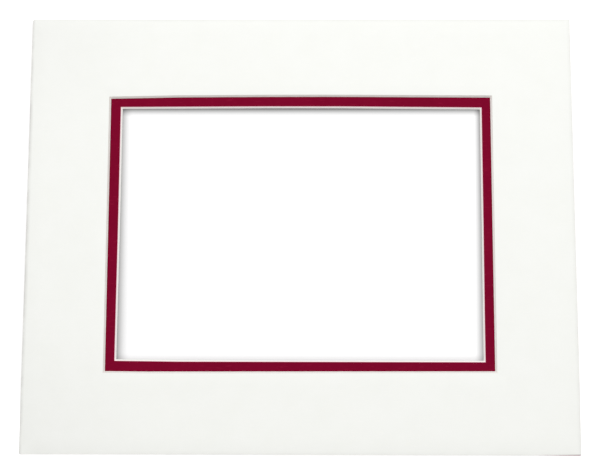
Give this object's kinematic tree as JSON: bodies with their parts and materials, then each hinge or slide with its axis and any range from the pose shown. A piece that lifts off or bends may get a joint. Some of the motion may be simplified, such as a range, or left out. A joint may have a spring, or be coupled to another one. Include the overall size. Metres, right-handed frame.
{
  "type": "double picture mount",
  "caption": "Rectangular double window mount: an off-white top board over a crimson inner board, with white bevelled window edges, for a landscape picture in a frame.",
  "frame": {"origin": "under the middle of the mount, on the surface that its back lies on", "axes": "+X along the long side, +Y towards the top edge as it hangs, +Z out of the face"},
  "size_m": [0.254, 0.2032, 0.0023],
  "materials": {
    "ivory_paper": "matte",
    "crimson_paper": "matte",
    "board_core": "matte",
    "bond_tape": "satin"
  },
  "bodies": {
    "root": {"inner_board_core": "board_core", "inner_board_facing": "crimson_paper", "tape_far": "bond_tape", "tape_near": "bond_tape", "tape_left": "bond_tape", "tape_right": "bond_tape", "top_board_core": "board_core", "top_board_facing": "ivory_paper"}
  },
  "joints": []
}
